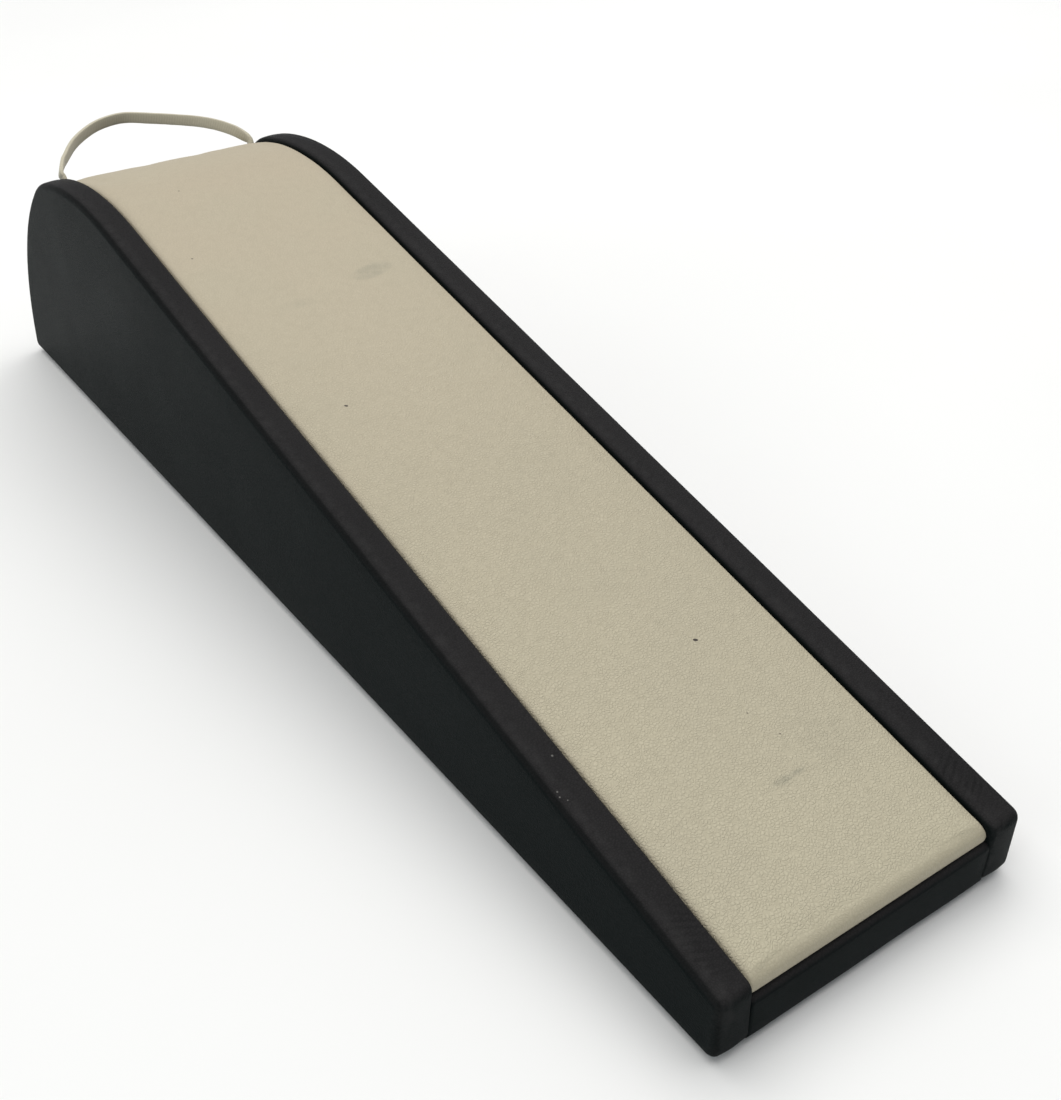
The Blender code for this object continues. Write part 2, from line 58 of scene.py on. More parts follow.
# The side view, as the CAD part has it
WIDTH = 54.3 * MM
TOE_Y = -116.55 * MM
TOE_HEIGHT = 10.4 * MM
SLOPE = math.radians(12.46)
SLOPE_REACH = 170.5 * MM
CREST_R = 69.0 * MM
CREST_DIP = math.radians(15.2)
SHOULDER_R = 18.5 * MM
SHOULDER_DIP = math.radians(38.5)
BACK_R = 61.5 * MM
TOE_ROUND = 1.6 * MM
BASE_ROUND = 1.5 * MM
LEAST_ROUND = 0.15 * MM
LIFT = 1.0 * MM
CHEEK = 5.7 * MM
SKIN = 0.6 * MM
LAP = 3.5 * MM
OUTER_EDGE_R = 1.2 * MM
INNER_EDGE_R = 0.8 * MM
INSERT_TOP = 0.65 * MM
INSERT_UNDER = 2.8 * MM
INSERT_SKIN = 0.4 * MM
DECK_TOP = 3.1 * MM
COVER_SKIN = 0.5 * MM
CREST_SINK = 0.28 * MM
TOE_SETBACK = 0.3 * MM
TOE_EDGE_R = 0.9 * MM
TOE_COVER_REACH = 8.0 * MM
TOE_COVER_SETBACK = 0.12 * MM
EXIT_AHEAD = 1.2 * MM
SEAM_BEHIND_EXIT = 1.6 * MM
FELT_THICK = 0.7 * MM
FELT_INSET = 1.5 * MM

# The elastic
BAND_WIDTH = 2.3 * MM
BAND_THICK = 0.9 * MM
BAND_X = 20.7 * MM
AXIS_RISE = 0.8 * MM
APEX_LEAN = math.radians(4.0)
LEFT_TWIST = 4
RIGHT_TWIST = 14
RIGHT_LEAN = math.radians(-28.0)
TAIL_LENGTH = 18.0 * MM
LOOP_BETWEEN = [
    (-20.8, 93.95, 47.0),
    (-19.3, 96.8, 47.8),
    (-17.9, 99.0, 48.05),
    (-13.8, 104.2, 49.05),
    (-8.6, 108.4, 49.85),
    (-4.2, 110.3, 50.2),
    (0.2, 110.5, 50.25),
    (5.1, 108.2, 49.8),
    (9.2, 105.9, 49.4),
    (13.5, 103.0, 48.95),
    (16.3, 99.6, 48.6),
    (18.6, 96.4, 47.85),
    (20.0, 94.4, 46.95),
]


def outward(heading):
    return Vector((-math.sin(heading), math.cos(heading)))


TOE_CORNER = Vector((TOE_Y, TOE_HEIGHT))
SLOPE_END = TOE_CORNER + Vector((SLOPE_REACH, SLOPE_REACH * math.tan(SLOPE)))
CREST_CENTRE = SLOPE_END - outward(SLOPE) * CREST_R
SHOULDER_CENTRE = CREST_CENTRE + outward(-CREST_DIP) * (CREST_R - SHOULDER_R)
BACK_CENTRE = SHOULDER_CENTRE + outward(-SHOULDER_DIP) * (SHOULDER_R - BACK_R)
SLOPE_RUN = SLOPE_REACH / math.cos(SLOPE)
CREST_RUN = SLOPE_RUN + CREST_R * (SLOPE + CREST_DIP)
SHOULDER_RUN = CREST_RUN + SHOULDER_R * (SHOULDER_DIP - CREST_DIP)
EXIT_RUN = SHOULDER_RUN - EXIT_AHEAD
SEAM_RUN = EXIT_RUN + SEAM_BEHIND_EXIT


def place(run):
    """The point and heading at a distance along the top edge line, counted from the toe's corner."""
    if run <= SLOPE_RUN:
        return TOE_CORNER + Vector((math.cos(SLOPE), math.sin(SLOPE))) * run, SLOPE
    if run <= CREST_RUN:
        heading = SLOPE - (run - SLOPE_RUN) / CREST_R
        return CREST_CENTRE + outward(heading) * CREST_R, heading
    if run <= SHOULDER_RUN:
        heading = -CREST_DIP - (run - CREST_RUN) / SHOULDER_R
        return SHOULDER_CENTRE + outward(heading) * SHOULDER_R, heading
    heading = -SHOULDER_DIP - (run - SHOULDER_RUN) / BACK_R
    return BACK_CENTRE + outward(heading) * BACK_R, heading


def smoothstep(value, low, high):
    share = min(1.0, max(0.0, (value - low) / (high - low)))
    return share * share * (3 - 2 * share)


def crest_sink(run):
    """How much further in the insert and the back cover lie where they bend over the crest's shoulder."""
    bent = smoothstep(run, CREST_RUN - 12 * MM, SHOULDER_RUN - 3 * MM)
    return CREST_SINK * bent * (1 - smoothstep(run, SEAM_RUN + 6 * MM, SEAM_RUN + 20 * MM))


def on_strip(run, x, depth):
    """A point of a strip that follows the top edge line."""
    point, heading = place(run)
    point = point - outward(heading) * (depth + crest_sink(run))
    return Vector((x, point.x, point.y + LIFT))


# Camera


CAMERA_PLACE = Vector((-104.07, -185.91, 146.52)) * MM
CAMERA_AZIMUTH = math.radians(-35.715)
CAMERA_ELEVATION = math.radians(34.895)
CAMERA_ROLL = math.radians(0.227)
CAMERA_LENS = 45.58
CAMERA_SENSOR = 36.0
CAMERA_CLIP_START = 0.01


def make_camera():
    level = Vector((math.cos(CAMERA_AZIMUTH), math.sin(CAMERA_AZIMUTH), 0.0))
    away = Vector((math.sin(CAMERA_AZIMUTH), -math.cos(CAMERA_AZIMUTH), 0.0))
    back = away * math.cos(CAMERA_ELEVATION)
    back.z = math.sin(CAMERA_ELEVATION)
    right = level * math.cos(CAMERA_ROLL) + back.cross(level) * math.sin(CAMERA_ROLL)
    turn = Matrix((right, back.cross(right), back)).transposed().to_4x4()
    camera = bpy.data.objects.new("camera", bpy.data.cameras.new("camera"))
    camera.matrix_world = Matrix.Translation(CAMERA_PLACE) @ turn
    camera.data.lens = CAMERA_LENS
    camera.data.sensor_width = CAMERA_SENSOR
    camera.data.clip_start = CAMERA_CLIP_START
    bpy.context.scene.collection.objects.link(camera)
    bpy.context.scene.camera = camera


make_camera()


# Node helpers


def new_material(name):
    made = bpy.data.materials.new(name)
    made.use_nodes = True
    tree = made.node_tree
    return made, tree, tree.nodes["Principled BSDF"]


def node(tree, kind, inputs=None, **settings):
    made = tree.nodes.new("ShaderNode" + kind)
    for key, value in settings.items():
        setattr(made, key, value)
    for key, value in (inputs or {}).items():
        if isinstance(value, bpy.types.NodeSocket):
            tree.links.new(value, made.inputs[key])
        else:
            made.inputs[key].default_value = value
    return made


def math_node(tree, operation, *values, clamp=False):
    made = node(tree, "Math", dict(enumerate(values)), operation=operation, use_clamp=clamp)
    return made.outputs[0]


def mix_colour(tree, factor, a, b, blend="MIX"):
    a = (*a, 1.0) if isinstance(a, tuple) and len(a) == 3 else a
    b = (*b, 1.0) if isinstance(b, tuple) and len(b) == 3 else b
    made = node(tree, "Mix", {0: factor, 6: a, 7: b}, data_type="RGBA", blend_type=blend)
    return made.outputs[2]


def remap(tree, value, low, high, to_low=0.0, to_high=1.0, kind="SMOOTHSTEP"):
    inputs = {0: value, 1: low, 2: high, 3: to_low, 4: to_high}
    return node(tree, "MapRange", inputs, interpolation_type=kind).outputs[0]


def object_coords(tree):
    return node(tree, "TexCoord").outputs["Object"]


def separate(tree, vector):
    return node(tree, "SeparateXYZ", {0: vector}).outputs


def stretched(tree, coords, scale):
    return node(tree, "Mapping", {"Vector": coords, "Scale": scale}).outputs[0]


def noise_at(tree, coords, scale, detail=2.0, roughness=0.5):
    inputs = {"Vector": coords, "Scale": scale, "Detail": detail, "Roughness": roughness}
    return node(tree, "TexNoise", inputs).outputs["Fac"]


def voronoi_at(tree, coords, scale, feature="F1", output="Distance"):
    return node(tree, "TexVoronoi", {"Vector": coords, "Scale": scale}, feature=feature).outputs[output]


def bump(tree, shader, height, distance, strength=1.0, under=None):
    inputs = {"Strength": strength, "Distance": distance, "Height": height}
    if under:
        inputs["Normal"] = under
    made = node(tree, "Bump", inputs).outputs[0]
    tree.links.new(made, shader.inputs["Normal"])
    return made


def spot(tree, coords, centre, half_size, turn=0.0, softness=1.0):
    """1 in the middle of a patch in plan, falling to 0 at its edge. A soft edge starts further in."""
    moved = node(tree, "VectorMath", {0: coords, 1: centre}, operation="SUBTRACT").outputs[0]
    inputs = {"Vector": moved, "Angle": math.radians(turn)}
    rotated = node(tree, "VectorRotate", inputs, rotation_type="Z_AXIS")
    scale = (1 / half_size[0], 1 / half_size[1], 0.0)
    scaled = node(tree, "VectorMath", {0: rotated.outputs[0], 1: scale}, operation="MULTIPLY").outputs[0]
    length = node(tree, "VectorMath", {0: scaled}, operation="LENGTH").outputs["Value"]
    return remap(tree, length, 1.0, 1.0 - softness)


def pebbles(tree, coords, cell):
    """Height of a fine leather grain: rounded pebbles with creases between them."""
    wander = node(tree, "TexNoise", {"Vector": coords, "Scale": 0.4 / cell, "Detail": 2.0}).outputs["Color"]
    shift = node(tree, "VectorMath", {0: wander, "Scale": cell * 0.9}, operation="SCALE").outputs[0]
    moved = node(tree, "VectorMath", {0: coords, 1: shift}, operation="ADD").outputs[0]
    crease = voronoi_at(tree, moved, 1 / cell, "DISTANCE_TO_EDGE")
    return remap(tree, crease, 0.0, 0.28)


# Materials

CREAM_AT_TOE = (0.509, 0.466, 0.340)
CREAM_AT_CREST = (0.460, 0.398, 0.294)
CREAM_CLOUD = (0.465, 0.425, 0.322)
CREAM_CREASE = (0.30, 0.26, 0.18)
GREY_SMUDGE = (0.285, 0.270, 0.205)
SPECK = (0.05, 0.04, 0.035)
# Painted shade for the insert's sides and its rolled nose
PAD_EDGE_SHADE = (0.27, 0.235, 0.17)
# Each smudge: its middle, its half length and half width, its turn, its strength, and how soft its edge is
SMUDGES = [
    ((11.5 * MM, 25.1 * MM, 0.0), (5.3 * MM, 2.3 * MM), -9.5, 0.42, 0.45),
    ((3.0 * MM, -96.3 * MM, 0.0), (4.1 * MM, 0.65 * MM), 0.0, 0.85, 0.9),
    ((1.8 * MM, -96.6 * MM, 0.0), (2.2 * MM, 1.3 * MM), 0.0, 0.40, 1.0),
    ((-5.2 * MM, 21.6 * MM, 0.0), (6.0 * MM, 2.0 * MM), -6.0, 0.16, 1.0),
    ((13.0 * MM, -94.0 * MM, 0.0), (8.5 * MM, 8.0 * MM), 25.0, 0.14, 1.0),
]
# Each speck: its middle and its half length
SPECKS = [
    ((-11.8 * MM, -5.8 * MM, 0.0), 0.44 * MM),
    ((7.3 * MM, -71.9 * MM, 0.0), 0.52 * MM),
    ((6.8 * MM, -90.5 * MM, 0.0), 0.19 * MM),
    ((5.1 * MM, -85.6 * MM, 0.0), 0.17 * MM),
    ((-16.2 * MM, 41.0 * MM, 0.0), 0.28 * MM),
    ((-8.4 * MM, 63.0 * MM, 0.0), 0.26 * MM),
]
# Painted light: a shaded, greener black for the sides and a lit, browner black for the tops
BLACK_SHADED_SIDE = (0.0042, 0.0074, 0.0075)
BLACK_LIT_TOP = (0.0238, 0.0228, 0.0234)
BLACK_CLOUD = (0.0065, 0.0075, 0.0080)
BLACK_CREASE = (0.0050, 0.0050, 0.0052)
# Painted shade for the dark line near the outer edges and in the toe's creases
BLACK_PAINTED_SHADE = (0.0030, 0.0042, 0.0042)
# Lighter black for real rubbing at the toe's corners and a painted highlight along the cheeks' tops
BLACK_WEAR_AND_HIGHLIGHT = (0.044, 0.043, 0.043)
DUST = (0.34, 0.33, 0.31)
# Each dust speck: its middle and its radius
DUST_SPECKS = [
    ((-23.2 * MM, -78.5 * MM, 0.0), 0.24 * MM),
    ((-25.9 * MM, -83.3 * MM, 0.0), 0.20 * MM),
    ((-26.1 * MM, -84.1 * MM, 0.0), 0.18 * MM),
    ((-25.5 * MM, -85.0 * MM, 0.0), 0.14 * MM),
]


def cream_leatherette():
    """Matt cream with a fine pebble, stronger toward the toe, handling smudges and a few specks."""
    made, tree, shader = new_material("cream_leatherette_look")
    coords = object_coords(tree)
    x, y, _ = separate(tree, coords)
    climb = remap(tree, y, TOE_Y, 60 * MM, kind="LINEAR")
    colour = mix_colour(tree, climb, CREAM_AT_TOE, CREAM_AT_CREST)
    clouds = noise_at(tree, coords, 42.0, 3.0)
    colour = mix_colour(tree, remap(tree, clouds, 0.35, 0.7, 0.0, 0.35), colour, CREAM_CLOUD)
    mottle = noise_at(tree, coords, 620.0, 3.0, 0.6)
    colour = mix_colour(tree, remap(tree, mottle, 0.40, 0.66, 0.0, 0.08), colour, CREAM_CREASE)
    grain = pebbles(tree, coords, 0.50 * MM)
    creased = remap(tree, grain, 0.0, 0.5, 0.16, 0.0)
    colour = mix_colour(tree, creased, colour, CREAM_CREASE)
    mark_weight = remap(tree, noise_at(tree, coords, 620.0, 4.0, 0.6), 0.32, 0.60, 0.35, 1.0)
    for centre, half_size, turn, strength, softness in SMUDGES:
        patch = math_node(tree, "MULTIPLY", spot(tree, coords, centre, half_size, turn, softness), mark_weight)
        colour = mix_colour(tree, math_node(tree, "MULTIPLY", patch, strength), colour, GREY_SMUDGE)
    for centre, size in SPECKS:
        dot = spot(tree, coords, centre, (size, size * 0.6), 30.0)
        colour = mix_colour(tree, remap(tree, dot, 0.0, 0.35), colour, SPECK)
    # Painted shade: darker toward the insert's left side beside the taller cheek, a little at its right
    # side, and down its rolled nose
    left_edge = remap(tree, x, -19.9 * MM, -21.5 * MM, 0.0, 0.55)
    right_edge = remap(tree, x, 20.7 * MM, 21.7 * MM, 0.0, 0.25)
    nose = remap(tree, y, TOE_Y + 2.8 * MM, TOE_Y + 0.5 * MM, 0.0, 0.38)
    edges = math_node(tree, "MAXIMUM", math_node(tree, "MAXIMUM", left_edge, right_edge), nose)
    colour = mix_colour(tree, edges, colour, PAD_EDGE_SHADE)
    tree.links.new(colour, shader.inputs["Base Color"])
    tree.links.new(remap(tree, clouds, 0.3, 0.7, 0.52, 0.66), shader.inputs["Roughness"])
    shader.inputs["Specular IOR Level"].default_value = 0.30
    shader.inputs["Sheen Weight"].default_value = 0.08
    shader.inputs["Sheen Roughness"].default_value = 0.45
    toward_toe = remap(tree, y, 50 * MM, -40 * MM, 0.25, 0.95)
    off_nose = remap(tree, y, TOE_Y + 1.0 * MM, TOE_Y + 4.0 * MM, 0.35, 1.0)
    height = math_node(tree, "MULTIPLY", math_node(tree, "MULTIPLY", grain, toward_toe), off_nose)
    fine = bump(tree, shader, height, 0.085 * MM, 0.85)
    bump(tree, shader, noise_at(tree, coords, 260.0, 4.0, 0.6), 0.16 * MM, 0.45, fine)
    return made


def black_leatherette():
    """Satin black. Painted light: a lit, browner black on top and a shaded black on the sides, a painted
    shade line where it starts over an edge, and lighter bands past it: a painted highlight along the top
    and real rubbing at the toe's corner.
    """
    made, tree, shader = new_material("black_leatherette_look")
    coords = object_coords(tree)
    clouds = noise_at(tree, coords, 55.0, 4.0)
    # Painted light: faces that look up get the lit black, faces that look sideways the shaded black
    upward = separate(tree, node(tree, "NewGeometry").outputs["Normal"])[2]
    colour = mix_colour(tree, remap(tree, upward, 0.2, 0.9), BLACK_SHADED_SIDE, BLACK_LIT_TOP)
    colour = mix_colour(tree, remap(tree, clouds, 0.35, 0.7, 0.0, 0.12), colour, BLACK_CLOUD)
    grain = pebbles(tree, coords, 0.38 * MM)
    colour = mix_colour(tree, remap(tree, grain, 0.0, 0.5, 0.35, 0.0), colour, BLACK_CREASE)
    # Painted shade: a dark line near the cheeks' outer edges and in the toe's creases
    shade_amount = node(tree, "Attribute", attribute_name="painted_shade").outputs["Fac"]
    colour = mix_colour(tree, math_node(tree, "MULTIPLY", shade_amount, 0.75), colour, BLACK_PAINTED_SHADE)
    # Painted highlight along each cheek top's shoulder, with real rubbing at the toe's corner, lighter in
    # noisy patches
    wear_and_highlight = node(tree, "Attribute", attribute_name="wear_and_highlight").outputs["Fac"]
    patchy_noise = remap(tree, noise_at(tree, coords, 700.0, 5.0, 0.65), 0.30, 0.75)
    worn_and_lit = math_node(tree, "MULTIPLY", wear_and_highlight, patchy_noise)
    colour = mix_colour(tree, math_node(tree, "MULTIPLY", worn_and_lit, 0.5), colour, BLACK_WEAR_AND_HIGHLIGHT)
    for centre, size in DUST_SPECKS:
        dot = math_node(tree, "MULTIPLY", spot(tree, coords, centre, (size, size)), 0.55)
        colour = mix_colour(tree, dot, colour, DUST)
    tree.links.new(colour, shader.inputs["Base Color"])
    rough = remap(tree, clouds, 0.3, 0.7, 0.405, 0.44)
    rough = math_node(tree, "ADD", rough, math_node(tree, "MULTIPLY", worn_and_lit, 0.12))
    tree.links.new(rough, shader.inputs["Roughness"])
    shader.inputs["Specular IOR Level"].default_value = 0.018
    fine = bump(tree, shader, grain, 0.04 * MM, 0.7)
    bump(tree, shader, noise_at(tree, coords, 230.0, 3.0), 0.10 * MM, 0.2, fine)
    return made


def cream_elastic():
    """Braided elastic: cords along the band and slanting picks across them."""
    made, tree, shader = new_material("cream_elastic_look")
    along, around, _ = separate(tree, node(tree, "UVMap", uv_map="braid").outputs[0])
    slant = math_node(tree, "PINGPONG", math_node(tree, "MULTIPLY", around, 5.0), 0.5)
    pick = math_node(tree, "ADD", math_node(tree, "DIVIDE", along, 0.55 * MM), slant)
    weave = math_node(tree, "ABSOLUTE", math_node(tree, "SINE", math_node(tree, "MULTIPLY", pick, math.pi)))
    round_it = math_node(tree, "MULTIPLY", around, 6.0 * MM)
    coords = node(tree, "CombineXYZ", {0: along, 1: round_it}).outputs[0]
    fibres = noise_at(tree, stretched(tree, coords, (0.35, 1.0, 1.0)), 5200.0, 3.0, 0.6)
    colour = mix_colour(tree, remap(tree, weave, 0.0, 0.7), (0.475, 0.435, 0.33), (0.55, 0.51, 0.40))
    colour = mix_colour(tree, remap(tree, fibres, 0.35, 0.65, 0.0, 0.3), colour, (0.44, 0.40, 0.30))
    tree.links.new(colour, shader.inputs["Base Color"])
    shader.inputs["Roughness"].default_value = 0.82
    shader.inputs["Specular IOR Level"].default_value = 0.25
    shader.inputs["Sheen Weight"].default_value = 0.25
    ribs = bump(tree, shader, weave, 0.02 * MM, 0.5)
    bump(tree, shader, fibres, 0.03 * MM, 0.5, ribs)
    return made


def mdf_board():
    made, tree, shader = new_material("mdf_look")
    coords = object_coords(tree)
    fibre = noise_at(tree, stretched(tree, coords, (1.0, 0.45, 1.0)), 1500.0, 5.0, 0.7)
    clouds = noise_at(tree, coords, 60.0, 3.0)
    colour = mix_colour(tree, remap(tree, fibre, 0.35, 0.68), (0.30, 0.195, 0.105), (0.46, 0.325, 0.19))
    colour = mix_colour(tree, remap(tree, clouds, 0.3, 0.7, 0.0, 0.35), colour, (0.36, 0.245, 0.14))
    tree.links.new(colour, shader.inputs["Base Color"])
    tree.links.new(remap(tree, fibre, 0.3, 0.7, 0.86, 0.72), shader.inputs["Roughness"])
    bump(tree, shader, fibre, 0.05 * MM, 0.6)
    return made


def pine_wood():
    made, tree, shader = new_material("pine_look")
    coords = stretched(tree, object_coords(tree), (0.12, 1.0, 1.0))
    warp = noise_at(tree, coords, 90.0, 3.0)
    shift = math_node(tree, "MULTIPLY", warp, 3.0)
    rings = math_node(tree, "MULTIPLY_ADD", separate(tree, coords)[1], 330.0, shift)
    year = math_node(tree, "FRACT", rings)
    late = remap(tree, year, 0.45, 0.98)
    pores = noise_at(tree, coords, 2600.0, 4.0, 0.6)
    colour = mix_colour(tree, late, (0.66, 0.47, 0.265), (0.44, 0.245, 0.10))
    colour = mix_colour(tree, remap(tree, pores, 0.4, 0.7, 0.0, 0.3), colour, (0.38, 0.22, 0.10))
    tree.links.new(colour, shader.inputs["Base Color"])
    tree.links.new(remap(tree, late, 0.0, 1.0, 0.72, 0.55), shader.inputs["Roughness"])
    bump(tree, shader, math_node(tree, "ADD", late, pores), 0.04 * MM, 0.5)
    return made


def grey_card():
    made, tree, shader = new_material("card_look")
    coords = object_coords(tree)
    pulp = noise_at(tree, coords, 2100.0, 5.0, 0.7)
    flecks = voronoi_at(tree, coords, 620.0)
    colour = mix_colour(tree, remap(tree, pulp, 0.35, 0.65), (0.33, 0.285, 0.215), (0.46, 0.41, 0.32))
    colour = mix_colour(tree, remap(tree, flecks, 0.10, 0.03, 0.0, 0.6), colour, (0.12, 0.10, 0.08))
    tree.links.new(colour, shader.inputs["Base Color"])
    shader.inputs["Roughness"].default_value = 0.9
    bump(tree, shader, pulp, 0.03 * MM, 0.6)
    return made


def open_foam():
    made, tree, shader = new_material("foam_look")
    coords = object_coords(tree)
    cells = voronoi_at(tree, coords, 1900.0, "DISTANCE_TO_EDGE")
    walls = remap(tree, cells, 0.0, 0.16)
    colour = mix_colour(tree, walls, (0.86, 0.84, 0.76), (0.62, 0.59, 0.50))
    tree.links.new(colour, shader.inputs["Base Color"])
    shader.inputs["Roughness"].default_value = 0.95
    bump(tree, shader, walls, -0.2 * MM, 0.7)
    return made


def black_felt():
    made, tree, shader = new_material("felt_look")
    coords = object_coords(tree)
    fibres = noise_at(tree, stretched(tree, coords, (1.0, 0.3, 1.0)), 3000.0, 5.0, 0.75)
    crossing = noise_at(tree, stretched(tree, coords, (0.3, 1.0, 1.0)), 3000.0, 5.0, 0.75)
    pile = math_node(tree, "MAXIMUM", fibres, crossing)
    colour = mix_colour(tree, remap(tree, pile, 0.45, 0.7), (0.007, 0.007, 0.008), (0.035, 0.035, 0.037))
    tree.links.new(colour, shader.inputs["Base Color"])
    shader.inputs["Roughness"].default_value = 0.96
    shader.inputs["Sheen Weight"].default_value = 0.5
    shader.inputs["Sheen Roughness"].default_value = 0.6
    bump(tree, shader, pile, 0.15 * MM, 0.9)
    return made


def drawn_steel():
    made, tree, shader = new_material("steel_look")
    coords = object_coords(tree)
    drawn = noise_at(tree, stretched(tree, coords, (0.15, 1.0, 1.0)), 6000.0, 3.0, 0.6)
    stain = noise_at(tree, coords, 500.0, 3.0)
    stained = remap(tree, stain, 0.5, 0.75, 0.0, 0.5)
    colour = mix_colour(tree, stained, (0.58, 0.58, 0.60), (0.36, 0.33, 0.29))
    tree.links.new(colour, shader.inputs["Base Color"])
    shader.inputs["Metallic"].default_value = 1.0
    tree.links.new(remap(tree, drawn, 0.3, 0.7, 0.24, 0.42), shader.inputs["Roughness"])
    bump(tree, shader, drawn, 0.01 * MM, 0.5)
    return made


LOOKS = {
    "black_leatherette": black_leatherette(),
    "cream_leatherette": cream_leatherette(),
    "cream_elastic": cream_elastic(),
    "mdf": mdf_board(),
    "pine": pine_wood(),
    "card": grey_card(),
    "foam": open_foam(),
    "felt": black_felt(),
    "steel": drawn_steel(),
}


# Mesh helpers


def new_piece(name, points, faces, slot, smooth=True):
    mesh = bpy.data.meshes.new(name)
    mesh.from_pydata([tuple(point) for point in points], [], faces)
    mesh.validate()
    made = bpy.data.objects.new(name, mesh)
    bpy.context.scene.collection.objects.link(made)
    mesh.materials.append(LOOKS[slot])
    face_outward(mesh)
    if smooth:
        mesh.shade_smooth()
    return made


def face_outward(mesh):
    data = bmesh.new()
    data.from_mesh(mesh)
    bmesh.ops.recalc_face_normals(data, faces=data.faces)
    data.to_mesh(mesh)
    data.free()


class Slab:
    """A closed body: rings round a long outline, and a grid of quads over each flat side.

    The outline is pairs of points, one down its near side and one down its far side. At both ends, as many
    points as cross says join the last pair.
    """

    def __init__(self, pairs, cross):
        self.pairs = pairs
        self.cross = cross
        self.points = []
        self.faces = []
        self.rings = []

    def ring(self, near, far):
        """Adds a ring from paired points, and returns its vertex numbers."""
        count = self.cross + 1
        start = [near[0].lerp(far[0], i / count) for i in range(1, count)]
        end = [near[-1].lerp(far[-1], i / count) for i in range(1, count)]
        loop = list(near) + end + list(reversed(far)) + list(reversed(start))
        first = len(self.points)
        self.points += loop
        numbers = list(range(first, first + len(loop)))
        if self.rings:
            before = self.rings[-1]
            for i in range(len(loop)):
                j = (i + 1) % len(loop)
                self.faces.append((before[i], before[j], numbers[j], numbers[i]))
        self.rings.append(numbers)
        return numbers

    def side(self, numbers):
        """Fills a ring with a grid whose border is the ring itself. Returns the new points' numbers."""
        n, m = self.pairs, self.cross
        near = numbers[:n]
        end = numbers[n:n + m]
        far = list(reversed(numbers[n + m:2 * n + m]))
        start = list(reversed(numbers[2 * n + m:]))
        columns = [[near[0], *start, far[0]]]
        made = []
        for k in range(1, n - 1):
            inner = []
            for i in range(1, m + 1):
                inner.append(len(self.points))
                self.points.append(self.points[near[k]].lerp(self.points[far[k]], i / (m + 1)))
            made += inner
            columns.append([near[k], *inner, far[k]])
        columns.append([near[-1], *end, far[-1]])
        for left, right in zip(columns, columns[1:]):
            for i in range(m + 1):
                self.faces.append((left[i], right[i], right[i + 1], left[i + 1]))
        return made


def arc_points(centre, radius, start, end, steps):
    return [centre + outward(start + (end - start) * i / steps) * radius for i in range(steps + 1)]


# The elastic, from the foot of one tail over the loop to the foot of the other


def smooth_route(points, per_span):
    ends = [2 * points[0] - points[1]] + points + [2 * points[-1] - points[-2]]
    route = []
    for a, b, c, d in zip(ends, ends[1:], ends[2:], ends[3:]):
        for i in range(per_span):
            t = i / per_span
            squared = (2 * a - 5 * b + 4 * c - d) * t * t
            cubed = (3 * b - a - 3 * c + d) * t**3
            route.append((2 * b + (c - a) * t + squared + cubed) * 0.5)
    return route + [points[-1]]


def band_section(count=32, ribs=4):
    """Half-width 1 across and half-thickness 1 through, with round edges and a rib along each cord."""
    section = []
    for i in range(count):
        turn = 2 * math.pi * i / count
        wide = math.copysign(abs(math.cos(turn)) ** 0.55, math.cos(turn))
        thick = math.copysign(abs(math.sin(turn)) ** 0.45, math.sin(turn))
        groove = 0.5 + 0.5 * math.cos(math.pi * (ribs * wide + 1))
        flat = min(1.0, 3 * (1 - abs(wide)))
        section.append((wide, thick * (1 - 0.10 * groove * flat)))
    return section


def lay_braid(mesh, weave):
    """Writes the distance along the band and the share round it as UVs, unbroken over the join."""
    layer = mesh.uv_layers.new(name="braid")
    for loop in mesh.loops:
        layer.data[loop.index].uv = weave[loop.vertex_index]
    for polygon in mesh.polygons:
        around = [layer.data[k].uv for k in polygon.loop_indices]
        if len(around) == 4 and max(uv.y for uv in around) > 0.9 and min(uv.y for uv in around) < 0.1:
            for uv in around:
                uv.y += 1.0 if uv.y < 0.1 else 0.0


